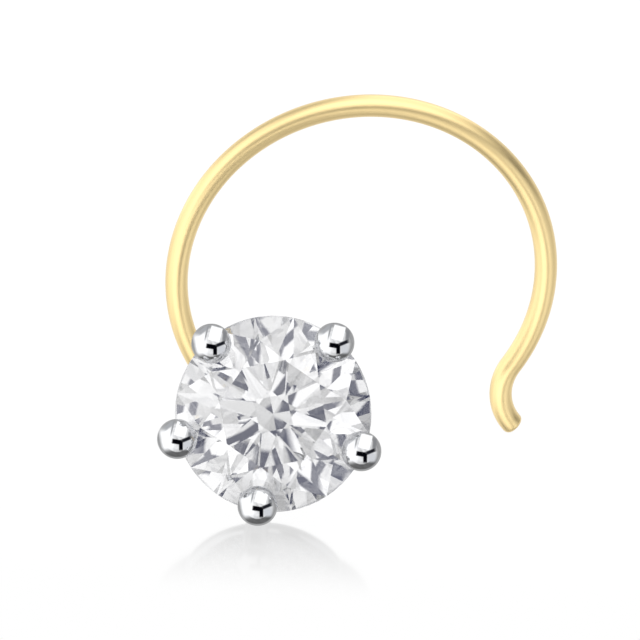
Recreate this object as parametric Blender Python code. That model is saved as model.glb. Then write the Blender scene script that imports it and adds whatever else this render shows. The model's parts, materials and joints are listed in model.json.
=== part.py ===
"""Nose pin: a round brilliant in a head of five ball-tipped prongs, on one bent gold wire.

The pieces are laid out in the jewel's own frame. Its origin is the centre of the stone's
girdle, +Z leaves the stone through its table, and +X is right and +Y is up for someone
who faces the stone. The empty at the end sets the whole jewel down as it stands by
itself: on its lowest prong, the bend of its post and the flicked tip of its wire.
"""

import math

import bmesh
import bpy
import numpy as np
from mathutils import Matrix, Vector

MM = 0.001

# Stone, cut to the usual angles of a round brilliant
STONE_DIAMETER = 4.5 * MM
TABLE_SHARE = 0.56
CROWN_ANGLE = 34.5
PAVILION_ANGLE = 40.8
STAR_SHARE = 0.5
LOWER_HALF_SHARE = 0.78
GIRDLE_THICKNESS = 0.11 * MM
STONE_TURN = 33.0

# Head: prongs, gallery ring and base collar, soldered into one
BALL_DIAMETER = 0.916 * MM
PRONG_DIAMETER = 0.56 * MM
GIRDLE_BITE = 0.22 * MM
CROWN_BITE = 0.05 * MM
SEAT_GAP = 0.03 * MM
GALLERY_DIAMETER = 0.44 * MM
GALLERY_INSET = 0.14 * MM
GALLERY_DEPTH_SHARE = 0.58
COLLAR_DIAMETER = 2.0 * MM
COLLAR_HEIGHT = 0.5 * MM
FOOT_COVER = 0.07 * MM
FOOT_INSET = 1.3
FOOT_PULL = (0.55, 0.12)
SEAT_PULL = 0.42
CULET_CLEARANCE = 0.28 * MM

# Name, direction from the stone's centre in degrees, and distance in girdle radii
PRONGS = (
    ("upper_right", 49.3, 0.956),
    ("upper_left", 131.3, 0.951),
    ("left", 194.6, 1.008),
    ("bottom", 260.4, 0.947),
    ("right", 337.1, 0.974),
)

# Wire: the post, its bend, the open loop and the flicked tip
WIRE_DIAMETER = 0.52 * MM
WIRE_END_CHAMFER = 0.04 * MM
SOCKET_DEPTH = 0.38 * MM
SOCKET_GAP = 0.03 * MM
POST_LENGTH = 3.72 * MM
POST_LEAN = 6.1
BEND_RADIUS = 0.9 * MM
LOOP_RADIUS = 4.31 * MM
LOOP_SWEEP = 260.5
LOOP_START = 121.8
LOOP_LEAN = 26.3
LOOP_ROLL = 14.4
TIP_RADIUS = 1.25 * MM
TIP_SWEEP = 78.7

# How finely round forms are divided
BLANK_SIDES = 64
PRONG_SIDES = 16
BALL_RINGS = 9
PRONG_RINGS = 9
GALLERY_SIDES = 10
GALLERY_STEPS = 60
COLLAR_SIDES = 32
WIRE_SIDES = 14
BEND_STEP = 9.0
LOOP_STEP = 5.0

# Worked out from the sizes above
GIRDLE_RADIUS = STONE_DIAMETER / 2
HALF_GIRDLE = GIRDLE_THICKNESS / 2
TABLE_RADIUS = TABLE_SHARE * GIRDLE_RADIUS
CROWN_SLOPE = math.tan(math.radians(CROWN_ANGLE))
PAVILION_SLOPE = math.tan(math.radians(PAVILION_ANGLE))
CULET_DEPTH = HALF_GIRDLE + GIRDLE_RADIUS * PAVILION_SLOPE
BALL_RADIUS = BALL_DIAMETER / 2
PRONG_RADIUS = PRONG_DIAMETER / 2
COLLAR_RADIUS = COLLAR_DIAMETER / 2
COLLAR_TOP = -(CULET_DEPTH + CULET_CLEARANCE)
COLLAR_BACK = COLLAR_TOP - COLLAR_HEIGHT
WIRE_RADIUS = WIRE_DIAMETER / 2
POST_DIRECTION = Matrix.Rotation(math.radians(-POST_LEAN), 3, "X") @ Vector((0, 0, -1))


def clear_scene():
    """Removes what a new file starts with."""
    for old in list(bpy.data.objects):
        bpy.data.objects.remove(old, do_unlink=True)


def material(name, colour, roughness, metallic, transmission=0.0):
    """A plain material in a linear colour, by which the library tells the metals apart."""
    made = bpy.data.materials.new(name)
    made.use_nodes = True
    shader = made.node_tree.nodes["Principled BSDF"]
    shader.inputs["Base Color"].default_value = (*colour, 1)
    shader.inputs["Roughness"].default_value = roughness
    shader.inputs["Metallic"].default_value = metallic
    shader.inputs["Transmission Weight"].default_value = transmission
    return made


def add_object(name, bm, finish=None):
    """Turns a bmesh into an object. Without a finish it is a guide that only Booleans use."""
    mesh = bpy.data.meshes.new(name)
    bmesh.ops.recalc_face_normals(bm, faces=bm.faces)
    bm.to_mesh(mesh)
    bm.free()
    made = bpy.data.objects.new(name, mesh)
    bpy.context.scene.collection.objects.link(made)
    if finish:
        mesh.materials.append(finish)
    else:
        made.hide_render = True
        made.display_type = "WIRE"
    return made


def turned(profile, sides):
    """A solid turned about Z from (radius, height) pairs that start and end on the axis."""
    bm = bmesh.new()
    rings = []
    for radius, height in profile:
        if radius == 0:
            rings.append([bm.verts.new((0, 0, height))])
            continue
        rings.append([bm.verts.new(polar(radius, 360 * k / sides, height)) for k in range(sides)])
    join_rings(bm, rings)
    return bm


def join_rings(bm, rings):
    """Faces between rings that follow each other. A ring of one point is a pole."""
    for near, far in zip(rings, rings[1:]):
        sides = max(len(near), len(far))
        for k in range(sides):
            corners = [near[k % len(near)], near[(k + 1) % len(near)]]
            corners += [far[(k + 1) % len(far)], far[k % len(far)]]
            bm.faces.new(list(dict.fromkeys(corners)))


def swept(centres, radii, sides, closed=False):
    """A round bar carried along its centre points without twisting, with a radius at each."""
    count = len(centres)
    bm = bmesh.new()
    rings = []
    across = None
    for k, (centre, radius) in enumerate(zip(centres, radii)):
        before = centres[(k - 1) % count] if closed else centres[max(k - 1, 0)]
        after = centres[(k + 1) % count] if closed else centres[min(k + 1, count - 1)]
        along = (after - before).normalized()
        if across is None:
            across = along.orthogonal()
        across = (across - along * across.dot(along)).normalized()
        beside = along.cross(across)
        if radius == 0:
            rings.append([bm.verts.new(centre)])
            continue
        axes = Matrix((across, beside, along)).transposed()
        ring = [centre + axes @ polar(radius, 360 * i / sides, 0) for i in range(sides)]
        rings.append([bm.verts.new(point) for point in ring])
    if closed:
        rings.append(rings[0])
    join_rings(bm, rings)
    if not closed:
        for end in (rings[0], rings[-1]):
            if len(end) > 1:
                bm.faces.new(end)
    return bm


def polar(radius, degrees, height):
    """The point at a radius and height, turned about Z by an angle."""
    turn = math.radians(degrees)
    return Vector((radius * math.cos(turn), radius * math.sin(turn), height))


def cut_facet(bm, corners):
    """Grinds one flat facet: all that lies outside the plane through three corners goes."""
    first, second, third = corners
    facing = (second - first).cross(third - first).normalized()
    if facing.dot(first) < 0:
        facing = -facing
    everything = bm.verts[:] + bm.edges[:] + bm.faces[:]
    cut = bmesh.ops.bisect_plane(
        bm, geom=everything, dist=1e-5, plane_co=first, plane_no=facing, clear_outer=True
    )
    rim = [e for e in cut["geom_cut"] if isinstance(e, bmesh.types.BMEdge) and e.is_boundary]
    bmesh.ops.contextual_create(bm, geom=rim)


def stone_facets():
    """Three corners of each of the 57 facets, in millimetres, so that they meet in points."""
    girdle = GIRDLE_RADIUS / MM
    half = HALF_GIRDLE / MM
    table = TABLE_RADIUS / MM
    mid = math.cos(math.radians(22.5))
    star_reach = table * mid + STAR_SHARE * (girdle - table * mid)
    star_height = half + (girdle - star_reach * mid) * CROWN_SLOPE
    keel_reach = girdle * (1 - LOWER_HALF_SHARE)
    keel_height = -half - (girdle - keel_reach * mid) * PAVILION_SLOPE
    top = half + (girdle - table) * CROWN_SLOPE
    culet = Vector((0, 0, -half - girdle * PAVILION_SLOPE))
    yield [polar(table, 0, top), polar(table, 90, top), polar(table, 180, top)]
    for main in range(0, 360, 45):
        kite = main + STONE_TURN
        left = kite + 22.5
        right = kite - 22.5
        yield [polar(table, kite, top), polar(star_reach, left, star_height), polar(girdle, kite, half)]
        yield [polar(table, kite, top), polar(table, kite + 45, top), polar(star_reach, left, star_height)]
        yield [culet, polar(keel_reach, left, keel_height), polar(girdle, kite, -half)]
        for side in (left, right):
            star = polar(star_reach, side, star_height)
            keel = polar(keel_reach, side, keel_height)
            yield [star, polar(girdle, kite, half), polar(girdle, side, half)]
            yield [keel, polar(girdle, kite, -half), polar(girdle, side, -half)]


def make_stone(finish):
    """A round blank with every facet cut from it, which leaves the scalloped girdle."""
    girdle = GIRDLE_RADIUS / MM
    top = girdle
    bm = turned([(0, -top), (girdle, -top), (girdle, top), (0, top)], BLANK_SIDES)
    bmesh.ops.rotate(bm, verts=bm.verts, matrix=Matrix.Rotation(math.radians(STONE_TURN), 3, "Z"))
    for corners in stone_facets():
        cut_facet(bm, corners)
    bmesh.ops.dissolve_degenerate(bm, dist=1e-4, edges=bm.edges)
    bmesh.ops.scale(bm, vec=(MM, MM, MM), verts=bm.verts)
    return add_object("stone", bm, finish)


def prong_ball_centre(distance):
    """Radius and height of a ball that is let a little way into the crown's edge."""
    tilt = math.radians(CROWN_ANGLE)
    radius = distance * GIRDLE_RADIUS
    reach = BALL_RADIUS - CROWN_BITE - (radius - GIRDLE_RADIUS) * math.sin(tilt)
    return radius, HALF_GIRDLE + reach / math.cos(tilt)


def prong_curve():
    """Radii and heights of a prong's centre line, from inside the collar up to the girdle."""
    waist = GIRDLE_RADIUS - GIRDLE_BITE + PRONG_RADIUS
    foot_radius = COLLAR_RADIUS - FOOT_INSET * PRONG_RADIUS
    foot = np.array((foot_radius, COLLAR_BACK + FOOT_COVER + PRONG_RADIUS))
    seat = np.array((waist, 0.0))
    near_foot = foot + np.array((FOOT_PULL[0] * (waist - foot_radius), FOOT_PULL[1] * CULET_DEPTH))
    near_seat = seat - np.array((0.0, SEAT_PULL * CULET_DEPTH))
    s = np.linspace(0, 1, PRONG_RINGS)[:, None]
    lower = (1 - s) ** 3 * foot + 3 * (1 - s) ** 2 * s * near_foot
    return lower + 3 * (1 - s) * s**2 * near_seat + s**3 * seat


def make_prong(name, degrees, distance):
    """A round wire that rises from the collar, past the girdle, and ends in a ball."""
    centres = [polar(radius, degrees, height) for radius, height in prong_curve()]
    radii = [PRONG_RADIUS] * len(centres)
    ball_radius, ball_height = prong_ball_centre(distance)
    ball = polar(ball_radius, degrees, ball_height)
    along = (ball - centres[-1]).normalized()
    neck = math.asin(PRONG_RADIUS / BALL_RADIUS)
    for step in range(BALL_RINGS + 1):
        turn = neck + (math.pi - neck) * step / BALL_RINGS
        centres.append(ball - along * BALL_RADIUS * math.cos(turn))
        radii.append(BALL_RADIUS * math.sin(turn) if step < BALL_RINGS else 0)
    return add_object("prong_" + name, swept(centres, radii, PRONG_SIDES))


def make_gallery():
    """A round wire ring behind the girdle that ties the prongs together."""
    height = -GALLERY_DEPTH_SHARE * CULET_DEPTH
    curve = prong_curve()
    radius = float(np.interp(height, curve[:, 1], curve[:, 0])) - GALLERY_INSET
    centres = [polar(radius, 360 * k / GALLERY_STEPS, height) for k in range(GALLERY_STEPS)]
    radii = [GALLERY_DIAMETER / 2] * GALLERY_STEPS
    return add_object("gallery_ring", swept(centres, radii, GALLERY_SIDES, closed=True))


def make_stone_seat():
    """The stone's outline with a little room round it, which is cut from the prongs."""
    edge = (GIRDLE_RADIUS + SEAT_GAP) / math.cos(math.pi / BLANK_SIDES)
    half = HALF_GIRDLE + SEAT_GAP
    profile = [
        (0, -half - edge * PAVILION_SLOPE),
        (edge, -half),
        (edge, half),
        (TABLE_RADIUS, half + (edge - TABLE_RADIUS) * CROWN_SLOPE),
        (0, half + (edge - TABLE_RADIUS) * CROWN_SLOPE),
    ]
    return add_object("stone_seat", turned(profile, BLANK_SIDES))


def make_post_socket():
    """The round hole in the collar's back that takes the post, in line with it."""
    back = Vector((0, 0, COLLAR_BACK))
    inner = back - POST_DIRECTION * (SOCKET_DEPTH + SOCKET_GAP)
    outer = back + POST_DIRECTION * COLLAR_HEIGHT
    radius = (WIRE_RADIUS + SOCKET_GAP) / math.cos(math.pi / COLLAR_SIDES)
    return add_object("post_socket", swept([inner, outer], [radius, radius], COLLAR_SIDES))


def make_setting(finish):
    """The collar, with the prongs and ring joined to it and the seat and socket cut."""
    collar = [(0, COLLAR_BACK), (COLLAR_RADIUS, COLLAR_BACK), (COLLAR_RADIUS, COLLAR_TOP), (0, COLLAR_TOP)]
    setting = add_object("setting", turned(collar, COLLAR_SIDES), finish)
    joined = [make_prong(*prong) for prong in PRONGS] + [make_gallery()]
    cut = [make_stone_seat(), make_post_socket()]
    for operation, tools in (("UNION", joined), ("DIFFERENCE", cut)):
        for tool in tools:
            step = setting.modifiers.new(tool.name, "BOOLEAN")
            step.operation = operation
            step.object = tool
            step.solver = "EXACT"
    return setting, joined + cut


def follow_arc(centres, heading, axis, radius, degrees, step):
    """Adds an arc to the centre points and returns the heading at its end."""
    start = centres[-1]
    middle = start + axis.cross(heading) * radius
    count = max(2, math.ceil(degrees / step))
    for k in range(1, count + 1):
        turn = Matrix.Rotation(math.radians(degrees * k / count), 3, axis)
        centres.append(middle + turn @ (start - middle))
    return Matrix.Rotation(math.radians(degrees), 3, axis) @ heading


def wire_route():
    """Centre points of the whole wire, from inside the collar to the flicked tip."""
    roll = Matrix.Rotation(math.radians(LOOP_ROLL), 3, "Z")
    plane = roll @ Matrix.Rotation(math.radians(LOOP_LEAN), 3, "X")
    loop_axis = plane @ Vector((0, 0, 1))
    loop_heading = plane @ polar(1, LOOP_START, 0)
    back = Vector((0, 0, COLLAR_BACK))
    centres = [back - POST_DIRECTION * SOCKET_DEPTH, back + POST_DIRECTION * POST_LENGTH]
    bend_axis = POST_DIRECTION.cross(loop_heading).normalized()
    bend = math.degrees(POST_DIRECTION.angle(loop_heading))
    heading = follow_arc(centres, POST_DIRECTION, bend_axis, BEND_RADIUS, bend, BEND_STEP)
    heading = follow_arc(centres, heading, -loop_axis, LOOP_RADIUS, LOOP_SWEEP, LOOP_STEP)
    follow_arc(centres, heading, loop_axis, TIP_RADIUS, TIP_SWEEP, BEND_STEP)
    return centres


def make_hook_wire(finish):
    """One round wire with both ends cut square and their edges broken."""
    centres = wire_route()
    first = (centres[1] - centres[0]).normalized() * WIRE_END_CHAMFER
    last = (centres[-2] - centres[-1]).normalized() * WIRE_END_CHAMFER
    stations = [centres[0], centres[0] + first] + centres[1:-1] + [centres[-1] + last, centres[-1]]
    narrow = WIRE_RADIUS - WIRE_END_CHAMFER
    radii = [narrow] + [WIRE_RADIUS] * (len(stations) - 2) + [narrow]
    return add_object("hook_wire", swept(stations, radii, WIRE_SIDES), finish)


def evaluated_points(piece):
    """The piece's points in the jewel's own frame, with its Booleans worked out."""
    graph = bpy.context.evaluated_depsgraph_get()
    mesh = piece.evaluated_get(graph).to_mesh()
    return np.array([tuple(vertex.co) for vertex in mesh.vertices])


def resting_up(head, wire):
    """The direction that points up when the jewel stands on a prong, its bend and its tip.

    The floor goes through the lowest points of the head, of the wire's first half and of
    its second half. Which points are lowest depends on the floor, so the floor and the
    three are worked out in turns until they settle.
    """
    middle = len(wire) // 2
    groups = (head, wire[:middle], wire[middle:])
    up = np.array((0.0, 1.0, 0.0))
    for _ in range(20):
        feet = [group[np.argmin(group @ up)] for group in groups]
        square = np.cross(feet[1] - feet[0], feet[2] - feet[0])
        up = square * math.copysign(1 / np.linalg.norm(square), square[1])
    return Vector(up)


def set_down(stone, setting, hook_wire, guides):
    """Hangs all pieces on an empty that turns them to rest and centres them on the floor."""
    points = [evaluated_points(piece) for piece in (setting, hook_wire, stone)]
    up = resting_up(points[0], points[1])
    facing = Vector((0, 0, 1))
    back = (up * facing.dot(up) - facing).normalized()
    turn = Matrix((back.cross(up), back, up))
    placed = np.concatenate(points) @ np.array(turn).T
    low = placed.min(axis=0)
    high = placed.max(axis=0)
    stand = bpy.data.objects.new("resting_pin", None)
    bpy.context.scene.collection.objects.link(stand)
    stand.rotation_euler = turn.to_euler()
    stand.location = (-(low[0] + high[0]) / 2, -(low[1] + high[1]) / 2, -low[2])
    for piece in (stone, setting, hook_wire, *guides):
        piece.parent = stand


clear_scene()
diamond = material("diamond", (0.93, 0.95, 0.97), 0.02, 0.0, 1.0)
white_gold = material("white_gold", (0.80, 0.80, 0.82), 0.08, 1.0)
yellow_gold = material("yellow_gold", (0.86, 0.66, 0.29), 0.12, 1.0)
stone = make_stone(diamond)
setting, guides = make_setting(white_gold)
hook_wire = make_hook_wire(yellow_gold)
for rounded in (setting, hook_wire):
    rounded.data.shade_smooth()
    rounded.data.set_sharp_from_angle(angle=math.radians(35))
set_down(stone, setting, hook_wire, guides)
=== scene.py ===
"""Nose pin, dressed: a round brilliant in ball-tipped prongs, on a bent gold wire."""

import json
import math

import bpy
import numpy as np
from mathutils import Matrix, Vector


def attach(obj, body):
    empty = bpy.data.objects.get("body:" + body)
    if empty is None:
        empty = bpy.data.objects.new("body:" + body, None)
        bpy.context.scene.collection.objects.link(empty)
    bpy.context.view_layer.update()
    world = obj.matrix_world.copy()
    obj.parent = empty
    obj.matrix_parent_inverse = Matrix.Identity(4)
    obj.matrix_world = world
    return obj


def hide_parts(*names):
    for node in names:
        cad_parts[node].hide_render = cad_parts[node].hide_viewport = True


MM = 0.001
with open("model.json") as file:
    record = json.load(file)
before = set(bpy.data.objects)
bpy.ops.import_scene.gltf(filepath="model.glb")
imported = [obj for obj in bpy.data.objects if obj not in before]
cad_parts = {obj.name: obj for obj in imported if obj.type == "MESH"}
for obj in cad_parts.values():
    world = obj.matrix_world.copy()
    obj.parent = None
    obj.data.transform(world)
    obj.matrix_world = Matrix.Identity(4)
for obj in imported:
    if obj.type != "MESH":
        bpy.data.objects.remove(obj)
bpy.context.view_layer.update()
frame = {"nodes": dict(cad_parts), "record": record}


# How the pin stands. Shown unworn, it rests on its lowest prong, the bend of its post and
# the flicked tip of its wire. The stone's table says where the head is: its middle and
# its normal give the head's axis, and its top corner says how far the pin has rolled.
GIRDLE_RADIUS = 2.25 * MM
HALF_GIRDLE = 0.055 * MM
TABLE_SHARE = 0.56
CROWN_SLOPE = math.tan(math.radians(34.5))
PAVILION_SLOPE = math.tan(math.radians(40.8))
TABLE_HEIGHT = HALF_GIRDLE + GIRDLE_RADIUS * (1 - TABLE_SHARE) * CROWN_SLOPE
TOP_CORNER = math.radians(78.0)
SAME_PLANE = 0.001 * MM

stone = frame["nodes"]["stone"]
stone_points = np.zeros(len(stone.data.vertices) * 3, np.float32)
stone.data.vertices.foreach_get("co", stone_points)
stone_points = stone_points.reshape(-1, 3).astype(float)
out_of_table = -np.array(frame["record"]["mounts"][0]["axis"])
reach = stone_points @ out_of_table
table = np.unique(stone_points[reach > reach.max() - SAME_PLANE].round(7), axis=0)
table_middle = table.mean(axis=0)
corner = table[np.argmax(table[:, 2])] - table_middle
corner /= np.linalg.norm(corner)
beside_corner = np.cross(out_of_table, corner)
to_the_right = math.cos(TOP_CORNER) * corner - math.sin(TOP_CORNER) * beside_corner
to_the_top = math.sin(TOP_CORNER) * corner + math.cos(TOP_CORNER) * beside_corner
HEAD_AXES = np.array([to_the_right, to_the_top, out_of_table])
GIRDLE_CENTRE = table_middle - TABLE_HEIGHT * out_of_table


def placed(points):
    """Points of the head's own frame (right, up, out of the table) as they lie at rest."""
    return GIRDLE_CENTRE + np.asarray(points) @ HEAD_AXES


# Stone: one colourless diamond, ground and polished to a round brilliant of 57 facets.
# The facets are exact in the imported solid, so the solid stays and gets the material. Its
# girdle keeps the frosted skin that the bruting wheel leaves.
DIAMOND_TINT = "#F3F3F4"
DIAMOND_IOR = 2.417
BRUTED_SHARE = 0.98
BRUTED_ROUGHNESS = 0.35
BRUTED_GRAIN = 0.04 * MM


def linear(colour):
    """An sRGB hex colour as linear red, green, blue and alpha."""
    parts = [int(colour[k : k + 2], 16) / 255 for k in (1, 3, 5)]
    return [c / 12.92 if c <= 0.04045 else ((c + 0.055) / 1.055) ** 2.4 for c in parts] + [1.0]


def add(tree, kind, settings=None, **links):
    """Adds a node. settings are its properties, links its inputs: a value or a socket.
    An input goes by its name, or by its place as _0, _1 and so on."""
    node = tree.nodes.new(kind)
    for name, value in (settings or {}).items():
        setattr(node, name, value)
    for name, value in links.items():
        socket = node.inputs[int(name[1:]) if name[1:].isdigit() else name.replace("_", " ")]
        if isinstance(value, bpy.types.NodeSocket):
            tree.links.new(value, socket)
        else:
            socket.default_value = value
    return node.outputs


def new_material(name):
    """An empty material with its tree and its Principled shader."""
    made = bpy.data.materials.new(name)
    made.use_nodes = True
    return made, made.node_tree, made.node_tree.nodes["Principled BSDF"]


# Diamond bends light so much that most of what comes in is mirrored out again
diamond, tree, shader = new_material("polished_diamond")
shader.inputs["Base Color"].default_value = linear(DIAMOND_TINT)
shader.inputs["Transmission Weight"].default_value = 1.0
shader.inputs["IOR"].default_value = DIAMOND_IOR
where = add(tree, "ShaderNodeTexCoord")["Object"]
from_girdle = add(
    tree, "ShaderNodeVectorMath", {"operation": "SUBTRACT"}, _0=where, _1=GIRDLE_CENTRE.tolist()
)["Vector"]
height = add(
    tree, "ShaderNodeVectorMath", {"operation": "DOT_PRODUCT"}, _0=from_girdle, _1=out_of_table.tolist()
)["Value"]
level = add(tree, "ShaderNodeMath", {"operation": "ABSOLUTE"}, _0=height)["Value"]
on_girdle = add(
    tree, "ShaderNodeMath", {"operation": "LESS_THAN"}, _0=level, _1=HALF_GIRDLE * BRUTED_SHARE
)["Value"]
grain = add(tree, "ShaderNodeTexNoise", Vector=where, Scale=1 / BRUTED_GRAIN, Detail=2.0)["Fac"]
frost = add(tree, "ShaderNodeMath", {"operation": "MULTIPLY"}, _0=grain, _1=on_girdle)["Value"]
roughness = add(
    tree, "ShaderNodeMath", {"operation": "MULTIPLY"}, _0=frost, _1=BRUTED_ROUGHNESS
)["Value"]
tree.links.new(roughness, shader.inputs["Roughness"])
stone.data.materials.clear()
stone.data.materials.append(diamond)


# Setting: five prongs drawn from round wire, each melted back to a ball that was pushed
# over the crown, a gallery ring and a base collar, all cast and soldered into one in
# white gold, then polished and plated with rhodium.
BALL_RADIUS = 0.458 * MM
BALL_STEPS = 40
PRONG_RADIUS = 0.28 * MM
PRONG_STEPS = 30
PRONG_SIDES = 56
GIRDLE_BITE = 0.22 * MM
CROWN_BITE = 0.05 * MM
FOOT_INSET = 1.3
FOOT_PULL = (0.55, 0.12)
SEAT_PULL = 0.42
SEAT_GAP = 0.03 * MM
SEAT_SIDES = 192
GALLERY_WIRE_RADIUS = 0.22 * MM
GALLERY_INSET = 0.14 * MM
GALLERY_DEPTH_SHARE = 0.58
GALLERY_STEPS = 160
GALLERY_SIDES = 32
COLLAR_RADIUS = 1.0 * MM
COLLAR_HEIGHT = 0.5 * MM
COLLAR_EDGE = 0.06 * MM
COLLAR_EDGE_STEPS = 7
COLLAR_SIDES = 128
FOOT_COVER = 0.07 * MM
CULET_CLEARANCE = 0.28 * MM
CULET_DEPTH = HALF_GIRDLE + GIRDLE_RADIUS * PAVILION_SLOPE
COLLAR_TOP = -(CULET_DEPTH + CULET_CLEARANCE)
COLLAR_BACK = COLLAR_TOP - COLLAR_HEIGHT
# Each prong's turn in degrees, and how far out its ball sits as a share of the girdle's radius
PRONGS = ((49.3, 0.956), (131.3, 0.951), (194.6, 1.008), (260.4, 0.947), (337.1, 0.974))
# The post's socket
POST_LEAN = math.radians(6.1)
POST_DIRECTION = np.array([0, -math.sin(POST_LEAN), -math.cos(POST_LEAN)])
WIRE_RADIUS = 0.26 * MM
SOCKET_DEPTH = 0.38 * MM
SOCKET_GAP = 0.03 * MM
SOCKET_SIDES = 64


def add_skin(name, grid, ends=()):
    """A closed surface through a grid of points, wrapped round its second direction.

    Neighbours in the grid make four-sided faces. With two end points, the first and last
    rows are closed by a fan to each. Without them, the rows wrap round as well.
    """
    rows, sides = grid.shape[:2]
    index = np.arange(rows * sides).reshape(rows, sides)
    beside = np.roll(index, -1, axis=1)
    quads = np.stack([index, beside, np.roll(beside, -1, axis=0), np.roll(index, -1, axis=0)], axis=-1)
    points = grid.reshape(-1, 3)
    faces = quads[: rows - 1 if ends else rows].reshape(-1, 4).tolist()
    if ends:
        points = np.concatenate([points, np.array(ends)])
        first = np.full(sides, rows * sides)
        faces += np.stack([first, beside[0], index[0]], axis=-1).tolist()
        faces += np.stack([first + 1, index[-1], beside[-1]], axis=-1).tolist()
    mesh = bpy.data.meshes.new(name)
    mesh.from_pydata(placed(points).tolist(), [], faces)
    mesh.validate()
    made = bpy.data.objects.new(name, mesh)
    bpy.context.scene.collection.objects.link(made)
    return made


def bar(centres, radii, across, sides):
    """Rings round a path: at each of its points a circle of the given radius, square to
    the path, that starts from the side that across points to."""
    along = np.gradient(centres, axis=0)
    along /= np.linalg.norm(along, axis=1, keepdims=True)
    side = across - along * np.sum(along * across, axis=1, keepdims=True)
    side /= np.linalg.norm(side, axis=1, keepdims=True)
    turn = np.linspace(0, 2 * np.pi, sides, endpoint=False)[None, :, None]
    ring = np.cos(turn) * side[:, None] + np.sin(turn) * np.cross(along, side)[:, None]
    return centres[:, None] + ring * np.asarray(radii)[:, None, None]


def polar(radius, turn, height):
    """Points at a radius and height, turned about the head's axis by an angle."""
    radius, turn, height = np.broadcast_arrays(radius, turn, height)
    return np.stack([radius * np.cos(turn), radius * np.sin(turn), height], axis=-1)


def turned(name, profile, sides):
    """Radius and height pairs, turned about the head's axis, closed by its ends on it."""
    radius, height = np.array(profile).T
    turn = np.linspace(0, 2 * np.pi, sides, endpoint=False)
    grid = polar(radius[1:-1, None], turn[None], height[1:-1, None])
    return add_skin(name, grid, [(0, 0, height[0]), (0, 0, height[-1])])


def prong_line(count):
    """Radius and height along a prong, from inside the collar out and up to the girdle:
    a cubic Bezier curve that leaves the collar steeply and meets the girdle upright."""
    waist = GIRDLE_RADIUS - GIRDLE_BITE + PRONG_RADIUS
    foot = np.array([COLLAR_RADIUS - FOOT_INSET * PRONG_RADIUS, COLLAR_BACK + FOOT_COVER + PRONG_RADIUS])
    seat = np.array([waist, 0.0])
    near_foot = foot + [FOOT_PULL[0] * (waist - foot[0]), FOOT_PULL[1] * CULET_DEPTH]
    near_seat = seat + [0.0, -SEAT_PULL * CULET_DEPTH]
    s = np.linspace(0, 1, count)[:, None]
    leaving_foot = (1 - s) ** 3 * foot + 3 * (1 - s) ** 2 * s * near_foot
    return leaving_foot + 3 * (1 - s) * s**2 * near_seat + s**3 * seat


def add_prong(degrees, distance):
    """A bar along the prong's line, then straight to a ball let into the crown's edge."""
    turn = math.radians(degrees)
    line = prong_line(PRONG_STEPS)
    stem = polar(line[:, 0], turn, line[:, 1])
    tilt = math.atan(CROWN_SLOPE)
    radius = distance * GIRDLE_RADIUS
    rise = BALL_RADIUS - CROWN_BITE - (radius - GIRDLE_RADIUS) * math.sin(tilt)
    ball = polar(radius, turn, HALF_GIRDLE + rise / math.cos(tilt))
    along = (ball - stem[-1]) / np.linalg.norm(ball - stem[-1])
    around = np.linspace(math.asin(PRONG_RADIUS / BALL_RADIUS), np.pi, BALL_STEPS)[:-1, None]
    centres = np.concatenate([stem, ball - along * BALL_RADIUS * np.cos(around)])
    radii = np.concatenate([np.full(len(stem), PRONG_RADIUS), BALL_RADIUS * np.sin(around[:, 0])])
    grid = bar(centres, radii, np.array([-math.sin(turn), math.cos(turn), 0.0]), PRONG_SIDES)
    return add_skin("prong", grid, [centres[0], ball + along * BALL_RADIUS])


def add_gallery():
    """A ring of round wire behind the girdle, just inside the prongs."""
    level = -GALLERY_DEPTH_SHARE * CULET_DEPTH
    line = prong_line(count=200)
    radius = np.interp(level, line[:, 1], line[:, 0]) - GALLERY_INSET
    turn = np.linspace(0, 2 * np.pi, GALLERY_STEPS, endpoint=False)[:, None]
    round_wire = np.linspace(0, 2 * np.pi, GALLERY_SIDES, endpoint=False)[None]
    out = radius + GALLERY_WIRE_RADIUS * np.cos(round_wire)
    return add_skin("gallery", polar(out, turn, level - GALLERY_WIRE_RADIUS * np.sin(round_wire)))


def add_collar():
    """A flat disc whose two rims are rounded by the polishing wheel."""
    quarter = np.linspace(0, np.pi / 2, COLLAR_EDGE_STEPS)
    out = COLLAR_RADIUS - COLLAR_EDGE + COLLAR_EDGE * np.sin(quarter)
    up = COLLAR_EDGE * (1 - np.cos(quarter))
    lower = list(zip(out, COLLAR_BACK + up))
    upper = list(zip(out[::-1], COLLAR_TOP - up[::-1]))
    return turned("setting", [(0, COLLAR_BACK), *lower, *upper, (0, COLLAR_TOP)], COLLAR_SIDES)


def add_seat():
    """The stone's turned outline with a little room round it, to be cut from the prongs."""
    edge = GIRDLE_RADIUS + SEAT_GAP
    half = HALF_GIRDLE + SEAT_GAP
    top = half + (edge - TABLE_SHARE * GIRDLE_RADIUS) * CROWN_SLOPE
    outline = [(0, -half - edge * PAVILION_SLOPE), (edge, -half), (edge, half)]
    return turned("seat", [*outline, (TABLE_SHARE * GIRDLE_RADIUS, top), (0, top)], SEAT_SIDES)


def add_socket():
    """The round hole for the post, drilled into the collar's back in line with it."""
    back = np.array([0, 0, COLLAR_BACK])
    ends = [back - POST_DIRECTION * (SOCKET_DEPTH + SOCKET_GAP), back + POST_DIRECTION * COLLAR_HEIGHT]
    radii = [WIRE_RADIUS + SOCKET_GAP] * 2
    return add_skin("socket", bar(np.array(ends), radii, np.array([1.0, 0.0, 0.0]), SOCKET_SIDES), ends)


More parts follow.
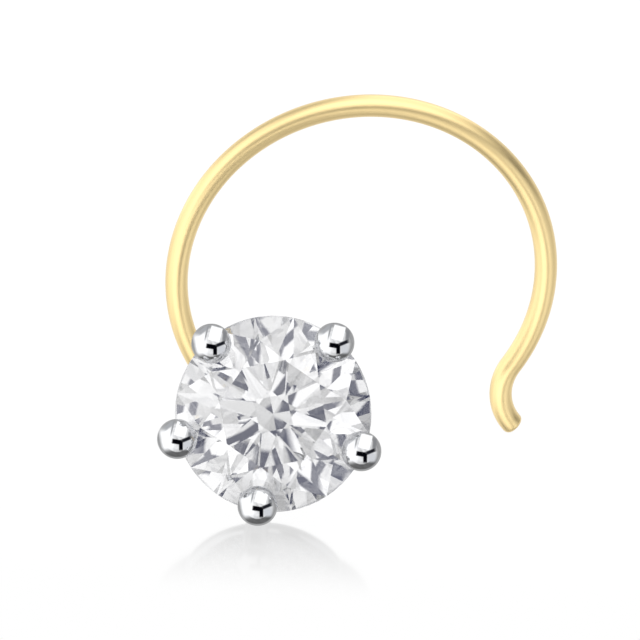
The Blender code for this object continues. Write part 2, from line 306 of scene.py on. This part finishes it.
def joined(base, unions, cuts):
    """Unites the base with some solids, cuts others from it, and keeps only the result."""
    for operation, tools in (("UNION", unions), ("DIFFERENCE", cuts)):
        for tool in tools:
            step = base.modifiers.new(tool.name, "BOOLEAN")
            step.operation = operation
            step.object = tool
            step.solver = "EXACT"
    bpy.context.view_layer.update()
    finished = base.evaluated_get(bpy.context.evaluated_depsgraph_get())
    solid = bpy.data.meshes.new_from_object(finished)
    base.modifiers.clear()
    base.data = solid
    for tool in [*unions, *cuts]:
        bpy.data.objects.remove(tool)
    return base


def smooth(piece, degrees):
    """Shades a piece smooth, but for edges that turn by more than the angle."""
    piece.data.shade_smooth()
    piece.data.set_sharp_from_angle(angle=math.radians(degrees))


def polished_metal(name, colour, roughness, wear, mark):
    """Polished precious metal: a mirror with a breath of haze that comes and goes over
    marks of the given size, and hairlines from cloths and skin, too fine to feel."""
    made, tree, shader = new_material(name)
    shader.inputs["Base Color"].default_value = linear(colour)
    shader.inputs["Metallic"].default_value = 1.0
    where = add(tree, "ShaderNodeTexCoord")["Object"]
    patches = add(tree, "ShaderNodeTexNoise", Vector=where, Scale=1 / mark, Detail=3.0)["Fac"]
    haze = add(
        tree, "ShaderNodeMapRange", Value=patches, _1=0.35, _2=0.75, _3=roughness, _4=roughness + wear
    )["Result"]
    tree.links.new(haze, shader.inputs["Roughness"])
    lines = add(tree, "ShaderNodeTexNoise", Vector=where, Scale=6 / mark, Detail=2.0)["Fac"]
    bump = add(tree, "ShaderNodeBump", Strength=0.02, Distance=0.01 * MM, Height=lines)["Normal"]
    tree.links.new(bump, shader.inputs["Normal"])
    return made


prongs = [add_prong(*prong) for prong in PRONGS]
setting = joined(add_collar(), [*prongs, add_gallery()], [add_seat(), add_socket()])
smooth(setting, degrees=35)
# Rhodium gives a clear mirror, a shade cooler and darker than silver's
rhodium = polished_metal("rhodium_plated_gold", "#E8E9EB", roughness=0.04, wear=0.05, mark=0.4 * MM)
setting.data.materials.append(rhodium)
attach(setting, "root")
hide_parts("setting")


# Hook wire: one length of round yellow gold wire, soldered into the collar, then bent on
# pliers into its post, a tight bend, an open loop and a tip that flicks outwards so that
# it doesn't scratch. Its ends are filed and its skin is buffed bright.
POST_LENGTH = 3.72 * MM
BEND_RADIUS = 0.9 * MM
LOOP_RADIUS = 4.31 * MM
LOOP_SWEEP = 260.5
LOOP_START = math.radians(121.8)
LOOP_LEAN = math.radians(26.3)
LOOP_ROLL = math.radians(14.4)
TIP_RADIUS = 1.25 * MM
TIP_SWEEP = 78.7
FILED_EDGE = 0.11 * MM
FILED_STEPS = 6
WIRE_STEP = 0.06 * MM
WIRE_SIDES = 56


def arc(start, heading, axis, radius, degrees):
    """Points on from start, on a circle that turns about the axis, and the last heading:
    middle + cos(turn) spoke + sin(turn) axis x spoke, with the spoke from the middle."""
    turn = math.radians(degrees)
    middle = start + np.cross(axis, heading) * radius
    spoke = start - middle
    steps = np.linspace(0, turn, 1 + math.ceil(turn * radius / WIRE_STEP))[1:, None]
    points = middle + np.cos(steps) * spoke + np.sin(steps) * np.cross(axis, spoke)
    return points, math.cos(turn) * heading + math.sin(turn) * np.cross(axis, heading)


def loop_frame(vector):
    """A vector of the loop's flat plane, leaned back and rolled to how the loop hangs."""
    x, y, z = vector
    lean_cos = math.cos(LOOP_LEAN)
    lean_sin = math.sin(LOOP_LEAN)
    roll_cos = math.cos(LOOP_ROLL)
    roll_sin = math.sin(LOOP_ROLL)
    y, z = y * lean_cos - z * lean_sin, y * lean_sin + z * lean_cos
    x, y = x * roll_cos - y * roll_sin, x * roll_sin + y * roll_cos
    return np.array([x, y, z])


back = np.array([0, 0, COLLAR_BACK])
loop_axis = loop_frame((0, 0, 1))
loop_heading = loop_frame((math.cos(LOOP_START), math.sin(LOOP_START), 0))
bend_axis = np.cross(POST_DIRECTION, loop_heading)
bend_axis /= np.linalg.norm(bend_axis)
bend_sweep = math.degrees(math.acos(POST_DIRECTION @ loop_heading))
post_run = np.linspace(-SOCKET_DEPTH, POST_LENGTH, math.ceil(POST_LENGTH / WIRE_STEP))
post = back + post_run[:, None] * POST_DIRECTION
bend, heading = arc(post[-1], POST_DIRECTION, bend_axis, BEND_RADIUS, bend_sweep)
loop, heading = arc(bend[-1], heading, -loop_axis, LOOP_RADIUS, LOOP_SWEEP)
tip, _ = arc(loop[-1], heading, loop_axis, TIP_RADIUS, TIP_SWEEP)
route = np.concatenate([post, bend, loop, tip])
run = np.concatenate([[0], np.cumsum(np.linalg.norm(np.diff(route, axis=0), axis=1))])
from_end = FILED_EDGE * (1 - np.cos(np.linspace(0, np.pi / 2, FILED_STEPS)))
between = run[(run > 2 * FILED_EDGE) & (run < run[-1] - 2 * FILED_EDGE)]
stations = np.concatenate([from_end, between, run[-1] - from_end[::-1]])
centres = np.stack([np.interp(stations, run, route[:, k]) for k in range(3)], axis=-1)
into_end = np.minimum(np.minimum(stations, stations[-1] - stations), FILED_EDGE) / FILED_EDGE
radii = WIRE_RADIUS - FILED_EDGE * (1 - np.sqrt(1 - (1 - into_end) ** 2))
wire_grid = bar(centres, radii, loop_axis, WIRE_SIDES)
hook_wire = add_skin("hook_wire", wire_grid, [centres[0], centres[-1]])
smooth(hook_wire, degrees=50)
# Buffing leaves gold a hazy mirror, so the lights show in it as soft bands along the wire
gold = polished_metal("buffed_yellow_gold", "#F5DCA2", roughness=0.33, wear=0.05, mark=0.6 * MM)
hook_wire.data.materials.append(gold)
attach(hook_wire, "root")
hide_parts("hook_wire")


# Camera: straight in front of the stone, as the photo was taken, a long way off through a
# long lens, so that nothing shows its perspective. It looks down on the floor at the angle
# by which the head leans back.
CAMERA_DISTANCE = 500 * MM
CLIP_START = 10 * MM
CLIP_END = 10.0
FRAME_WIDTH = 14.656 * MM
FRAME_MIDDLE = (1.0717 * MM, 2.1434 * MM)

camera = bpy.data.objects.new("camera", bpy.data.cameras.new("camera"))
bpy.context.scene.collection.objects.link(camera)
camera.rotation_mode = "QUATERNION"
camera.rotation_quaternion = Matrix(HEAD_AXES.T.tolist()).to_quaternion()
camera.location = placed([*FRAME_MIDDLE, CAMERA_DISTANCE]).tolist()
camera.data.angle = 2 * math.atan(FRAME_WIDTH / 2 / CAMERA_DISTANCE)
camera.data.clip_start = CLIP_START
camera.data.clip_end = CLIP_END
bpy.context.scene.camera = camera


# Floor: a sheet of white acrylic, lit from below, whose polished face shows a faint
# mirror image of the head that stands on it, fading out towards the camera. The photo
# shows none of the wire in it, so no polished face mirrors the wire.
FLOOR_SIZE = 1.2
FLOOR_FACE = "#303030"
FLOOR_ROUGHNESS = 0.09
FLOOR_GLOW = 0.52
MIRROR_START = -3.5 * MM
MIRROR_END = -9.5 * MM
MIRROR_LOSS = (0.35, 1.0)

hook_wire.visible_glossy = False
half = FLOOR_SIZE / 2
floor_corners = [(-half, -half, 0), (half, -half, 0), (half, half, 0), (-half, half, 0)]
floor_mesh = bpy.data.meshes.new("floor")
floor_mesh.from_pydata(floor_corners, [], [(0, 1, 2, 3)])
floor = bpy.data.objects.new("floor", floor_mesh)
bpy.context.scene.collection.objects.link(floor)
acrylic, tree, shader = new_material("lit_acrylic")
shader.inputs["Base Color"].default_value = linear(FLOOR_FACE)
shader.inputs["Roughness"].default_value = FLOOR_ROUGHNESS
shader.inputs["Emission Color"].default_value = linear("#FFFFFF")
shader.inputs["Emission Strength"].default_value = FLOOR_GLOW
where = add(tree, "ShaderNodeTexCoord")["Object"]
depth = add(tree, "ShaderNodeSeparateXYZ", Vector=where)["Y"]
fade = add(
    tree,
    "ShaderNodeMapRange",
    {"interpolation_type": "SMOOTHSTEP"},
    Value=depth,
    _1=MIRROR_START,
    _2=MIRROR_END,
    _3=MIRROR_LOSS[0],
    _4=MIRROR_LOSS[1],
)["Result"]
milky = add(tree, "ShaderNodeEmission")["Emission"]
mirror = shader.outputs["BSDF"]
sheet = add(tree, "ShaderNodeMixShader", _0=fade, _1=mirror, _2=milky)["Shader"]
tree.links.new(sheet, tree.nodes["Material Output"].inputs["Surface"])
floor.data.materials.append(acrylic)
floor.visible_glossy = False
floor.visible_transmission = False
floor.visible_shadow = False


# Tent: white cloth all round the table, seen by the pin but not by the camera. A ball
# shows all of it in one disc, so it is laid out on that disc: 0 is the camera's direction,
# 1 the ball's rim, which mirrors what is straight behind the pin.
TENT_MIDDLE = 0.98
TENT_REAR = 0.46
REAR_START = 0.70
REAR_FULL = 0.84
TENT_BELOW = 0.17
BELOW_RADIUS = 0.78
BELOW_HALF_WIDTH = 0.17
BELOW_START = -0.36
BELOW_FULL = -0.58
TENT_FOLDS = (0.78, 1.04)
# Name, middle to the right and up, half width and half height, turn, softness, level, colour
TENT_PANELS = (
    ("left_side", -0.50, -0.02, 0.30, 0.50, 12, 0.4, 1.35, "#FFFFFF"),
    ("upper_left_shade", -0.42, 0.66, 0.30, 0.10, 38, 0.5, 0.55, "#F4F6FA"),
    ("softbox_frame", -0.23, 0.58, 0.035, 0.38, -13, 0.6, 0.45, "#F4F6FA"),
    ("softbox", 0.20, 0.48, 0.29, 0.36, -15, 0.12, 1.35, "#FFFFFF"),
    ("right_shade", 0.66, 0.36, 0.10, 0.30, -5, 0.6, 0.32, "#F4F6FA"),
    ("low_right_shade", 0.50, -0.30, 0.20, 0.22, 0, 0.5, 0.85, "#F4F6FA"),
    ("camera_spot", 0.0, 0.0, 0.05, 0.05, 0, 0.3, 0.70, "#FFFFFF"),
    ("slot_left", -0.02, -0.14, 0.24, 0.12, -9, 0.2, 0.006, "#7080C0"),
    ("slot_right", 0.46, -0.02, 0.27, 0.09, 22, 0.4, 0.04, "#A0A8C8"),
    ("slot_down", 0.19, -0.33, 0.10, 0.25, 0, 0.25, 0.006, "#7080C0"),
)

world = bpy.data.worlds.new("tent")
bpy.context.scene.world = world
world.use_nodes = True
tree = world.node_tree
background = tree.nodes["Background"]
facing = add(tree, "ShaderNodeTexCoord")["Generated"]
right, up, near = [
    add(tree, "ShaderNodeVectorMath", {"operation": "DOT_PRODUCT"}, _0=facing, _1=axis.tolist())["Value"]
    for axis in HEAD_AXES
]
# A ball mirrors a direction where its skin faces half way between that and the camera. The
# last digit of 2.0001 keeps the division possible straight behind the pin.
doubled = add(tree, "ShaderNodeMath", {"operation": "MULTIPLY_ADD"}, _0=near, _1=2.0, _2=2.0001)["Value"]
spread = add(tree, "ShaderNodeMath", {"operation": "SQRT"}, _0=doubled)["Value"]
flat = add(tree, "ShaderNodeCombineXYZ", X=right, Y=up)["Vector"]
shrink = add(tree, "ShaderNodeMath", {"operation": "DIVIDE"}, _0=1.0, _1=spread)["Value"]
disc = add(tree, "ShaderNodeVectorMath", {"operation": "SCALE"}, _0=flat, Scale=shrink)["Vector"]
from_middle = add(tree, "ShaderNodeVectorMath", {"operation": "LENGTH"}, _0=disc)["Value"]
level = add(
    tree,
    "ShaderNodeMapRange",
    {"interpolation_type": "SMOOTHSTEP"},
    Value=from_middle,
    _1=REAR_START,
    _2=REAR_FULL,
    _3=TENT_MIDDLE,
    _4=TENT_REAR,
)["Result"]
# The band below follows the ball's lower rim
height = add(tree, "ShaderNodeSeparateXYZ", Vector=disc)["Y"]
below = add(
    tree,
    "ShaderNodeMapRange",
    {"interpolation_type": "SMOOTHSTEP"},
    Value=height,
    _1=BELOW_START,
    _2=BELOW_FULL,
)["Result"]
off_band = add(tree, "ShaderNodeMath", {"operation": "SUBTRACT"}, _0=from_middle, _1=BELOW_RADIUS)["Value"]
off_band = add(tree, "ShaderNodeMath", {"operation": "ABSOLUTE"}, _0=off_band)["Value"]
on_band = add(
    tree,
    "ShaderNodeMapRange",
    {"interpolation_type": "SMOOTHSTEP"},
    Value=off_band,
    _1=BELOW_HALF_WIDTH * 0.6,
    _2=BELOW_HALF_WIDTH,
    _3=1.0,
    _4=0.0,
)["Result"]
below = add(tree, "ShaderNodeMath", {"operation": "MULTIPLY"}, _0=below, _1=on_band)["Value"]
level = add(tree, "ShaderNodeMix", _0=below, _2=level, _3=TENT_BELOW)[0]
# The cloth hangs in soft folds, a third brighter on their crests than in their valleys
folds = add(tree, "ShaderNodeTexNoise", Vector=facing, Scale=3.0, Detail=1.0)["Fac"]
folds = add(
    tree, "ShaderNodeMapRange", Value=folds, _1=0.35, _2=0.65, _3=TENT_FOLDS[0], _4=TENT_FOLDS[1]
)["Result"]
level = add(tree, "ShaderNodeMath", {"operation": "MULTIPLY"}, _0=level, _1=folds)["Value"]
seen = add(tree, "ShaderNodeCombineColor", Red=level, Green=level, Blue=level)["Color"]
# Each panel covers what lies within its half sizes of its middle, and fades over its softness
for _, x, y, half_width, half_height, turn, softness, level, colour in TENT_PANELS:
    local = add(
        tree,
        "ShaderNodeMapping",
        {"vector_type": "TEXTURE"},
        Vector=disc,
        Location=(x, y, 0),
        Rotation=(0, 0, math.radians(turn)),
        Scale=(half_width, half_height, 1),
    )["Vector"]
    reach = add(tree, "ShaderNodeVectorMath", {"operation": "ABSOLUTE"}, _0=local)["Vector"]
    reaches = add(tree, "ShaderNodeSeparateXYZ", Vector=reach)
    across, along = [
        add(
            tree,
            "ShaderNodeMapRange",
            {"interpolation_type": "SMOOTHSTEP"},
            Value=reaches[side],
            _1=1.0 - softness,
            _2=1.0 + softness,
            _3=1.0,
            _4=0.0,
        )["Result"]
        for side in ("X", "Y")
    ]
    mask = add(tree, "ShaderNodeMath", {"operation": "MULTIPLY"}, _0=across, _1=along)["Value"]
    lit = [channel * level for channel in linear(colour)[:3]] + [1.0]
    seen = add(tree, "ShaderNodeMix", {"data_type": "RGBA"}, _0=mask, _6=seen, _7=lit)[2]

by_camera = add(tree, "ShaderNodeLightPath")["Is Camera Ray"]
seen = add(tree, "ShaderNodeMix", {"data_type": "RGBA"}, _0=by_camera, _6=seen, _7=linear("#FFFFFF"))[2]
tree.links.new(seen, background.inputs["Color"])
bpy.context.scene.view_settings.view_transform = "Standard"


# Light box: the stone has its own, close round the head, as for a macro picture: each facet
# mirrors a stretch of it and not one spot, which gives it gradients and slivers. Its cloth
# is uneven, and dark seams cross it. Only light that went through the stone sees it.
BOX_REACH = 13 * MM
BOX_CLOTH = (0.38, 0.88)
BOX_FRONT_START = 0.6
BOX_FRONT_GAIN = 1.5
BOX_SEAM = 0.030
BOX_SEAM_COLOUR = "#202850"
BOUNCES = 24

box_sides = (-BOX_REACH, BOX_REACH)
box_corners = [(x, y, z) for x in box_sides for y in box_sides for z in box_sides]
box_faces = [(0, 1, 3, 2), (4, 6, 7, 5), (0, 4, 5, 1), (2, 3, 7, 6), (0, 2, 6, 4), (1, 5, 7, 3)]
box_mesh = bpy.data.meshes.new("light_box")
box_mesh.from_pydata(placed(box_corners).tolist(), [], box_faces)
light_box = bpy.data.objects.new("light_box", box_mesh)
bpy.context.scene.collection.objects.link(light_box)
cloth = bpy.data.materials.new("light_box_cloth")
cloth.use_nodes = True
cloth.cycles.emission_sampling = "NONE"
tree = cloth.node_tree
tree.nodes.remove(tree.nodes["Principled BSDF"])
where = add(tree, "ShaderNodeTexCoord")["Object"]
from_head = add(
    tree, "ShaderNodeVectorMath", {"operation": "SUBTRACT"}, _0=where, _1=GIRDLE_CENTRE.tolist()
)["Vector"]
towards = add(tree, "ShaderNodeVectorMath", {"operation": "NORMALIZE"}, _0=from_head)["Vector"]
folds = add(tree, "ShaderNodeTexNoise", Vector=towards, Scale=4.0, Detail=1.0)["Fac"]
white = add(
    tree, "ShaderNodeMapRange", Value=folds, _1=0.33, _2=0.58, _3=BOX_CLOTH[0], _4=BOX_CLOTH[1]
)["Result"]
ahead = add(
    tree, "ShaderNodeVectorMath", {"operation": "DOT_PRODUCT"}, _0=towards, _1=out_of_table.tolist()
)["Value"]
gain = add(
    tree, "ShaderNodeMapRange", Value=ahead, _1=BOX_FRONT_START, _2=1.0, _3=1.0, _4=BOX_FRONT_GAIN
)["Result"]
white = add(tree, "ShaderNodeMath", {"operation": "MULTIPLY"}, _0=white, _1=gain)["Value"]
plain = add(tree, "ShaderNodeCombineColor", Red=white, Green=white, Blue=white)["Color"]
edge = add(
    tree, "ShaderNodeTexVoronoi", {"feature": "DISTANCE_TO_EDGE"}, Vector=towards, Scale=5.0
)["Distance"]
seam = add(tree, "ShaderNodeMapRange", Value=edge, _1=BOX_SEAM, _2=BOX_SEAM * 1.6, _3=1.0, _4=0.0)["Result"]
sewn = add(
    tree, "ShaderNodeMix", {"data_type": "RGBA"}, _0=seam, _6=plain, _7=linear(BOX_SEAM_COLOUR)
)[2]
glow = add(tree, "ShaderNodeEmission", Color=sewn)["Emission"]
tree.links.new(glow, tree.nodes["Material Output"].inputs["Surface"])
light_box.data.materials.append(cloth)
light_box.visible_camera = False
light_box.visible_diffuse = False
light_box.visible_glossy = False
light_box.visible_shadow = False

# Light in the stone is mirrored from facet to facet many times before it comes out
bpy.context.scene.cycles.max_bounces = BOUNCES
bpy.context.scene.cycles.glossy_bounces = BOUNCES
bpy.context.scene.cycles.transmission_bounces = BOUNCES


# Lamps. Three light the wire alone, from in front, from behind and from below, so that it
# shows little of the dark slot and of the band below. The fourth stands where the floor
# mirrors the camera's view to, and keeps the floor white round the head's mirror image.
LAMP_DISTANCE = 300 * MM
# Name, what it lights, direction in the head's frame, width, level
LAMPS = (
    ("wire_front_lamp", hook_wire, (0.0, 0.0, 1.0), 1100 * MM, 0.32),
    ("wire_rear_lamp", hook_wire, (0.0, 0.0, -1.0), 1400 * MM, 0.50),
    ("wire_low_lamp", hook_wire, (0.2, -1.0, 0.3), 600 * MM, 0.38),
    ("floor_lamp", floor, (0.0, 0.536, -0.844), 400 * MM, 1.75),
)

for name, lit, direction, width, level in LAMPS:
    lit_alone = bpy.data.collections.new(name + "_lights")
    lit_alone.objects.link(lit)
    light = bpy.data.lights.new(name, "AREA")
    light.shape = "DISK"
    light.size = width
    # A disc glows at a level with pi times its area in watts for each unit
    light.energy = level * math.pi * math.pi * (width / 2) ** 2
    lamp = bpy.data.objects.new(name, light)
    bpy.context.scene.collection.objects.link(lamp)
    outwards = Vector(np.array(direction) @ HEAD_AXES).normalized()
    lamp.rotation_mode = "QUATERNION"
    lamp.rotation_quaternion = outwards.to_track_quat("Z", "Y")
    lamp.location = Vector(GIRDLE_CENTRE) + LAMP_DISTANCE * outwards
    lamp.visible_camera = False
    lamp.light_linking.receiver_collection = lit_alone
